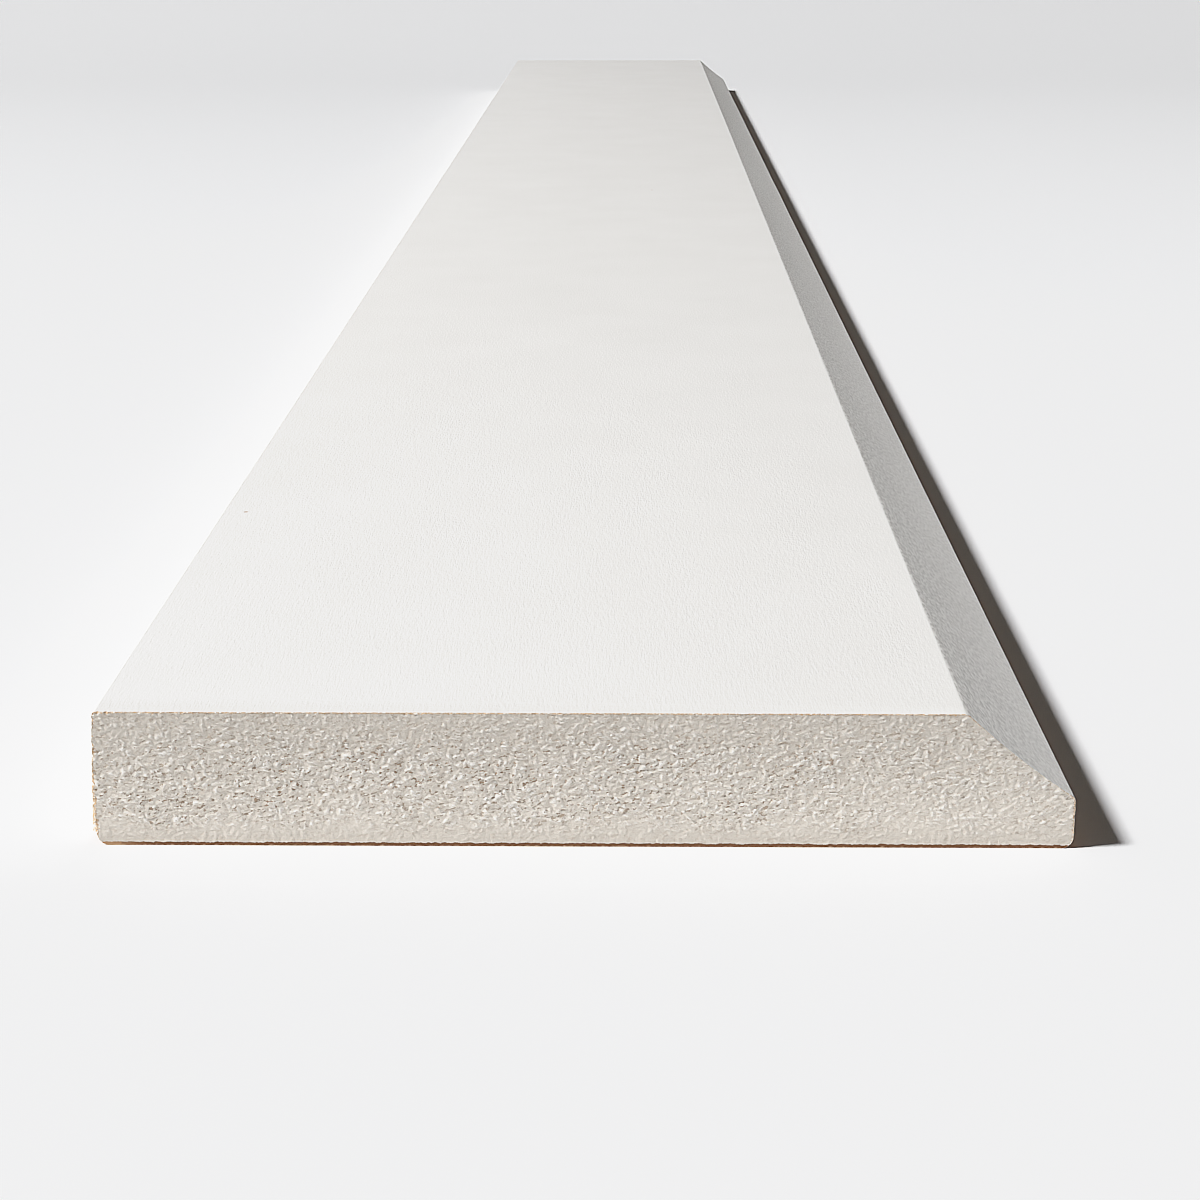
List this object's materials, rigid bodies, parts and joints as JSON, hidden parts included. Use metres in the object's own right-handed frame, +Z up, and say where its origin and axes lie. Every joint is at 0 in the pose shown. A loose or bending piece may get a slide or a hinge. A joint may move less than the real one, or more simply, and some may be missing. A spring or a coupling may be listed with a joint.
{
  "type": "baseboard moulding",
  "caption": "Straight length of flat baseboard moulding, primed white, with a wide bevel along its top edge and square-cut ends.",
  "frame": {"origin": "middle of the back, which lies on the ground, under the middle of the length", "axes": "+Z up from the back to the face, +Y along the length, +X across the face towards the bevelled edge"},
  "size_m": [0.11, 1, 0.016],
  "materials": {
    "primed_board": "satin white primer over fibreboard"
  },
  "bodies": {
    "root": {"baseboard": "primed_board"}
  },
  "joints": []
}
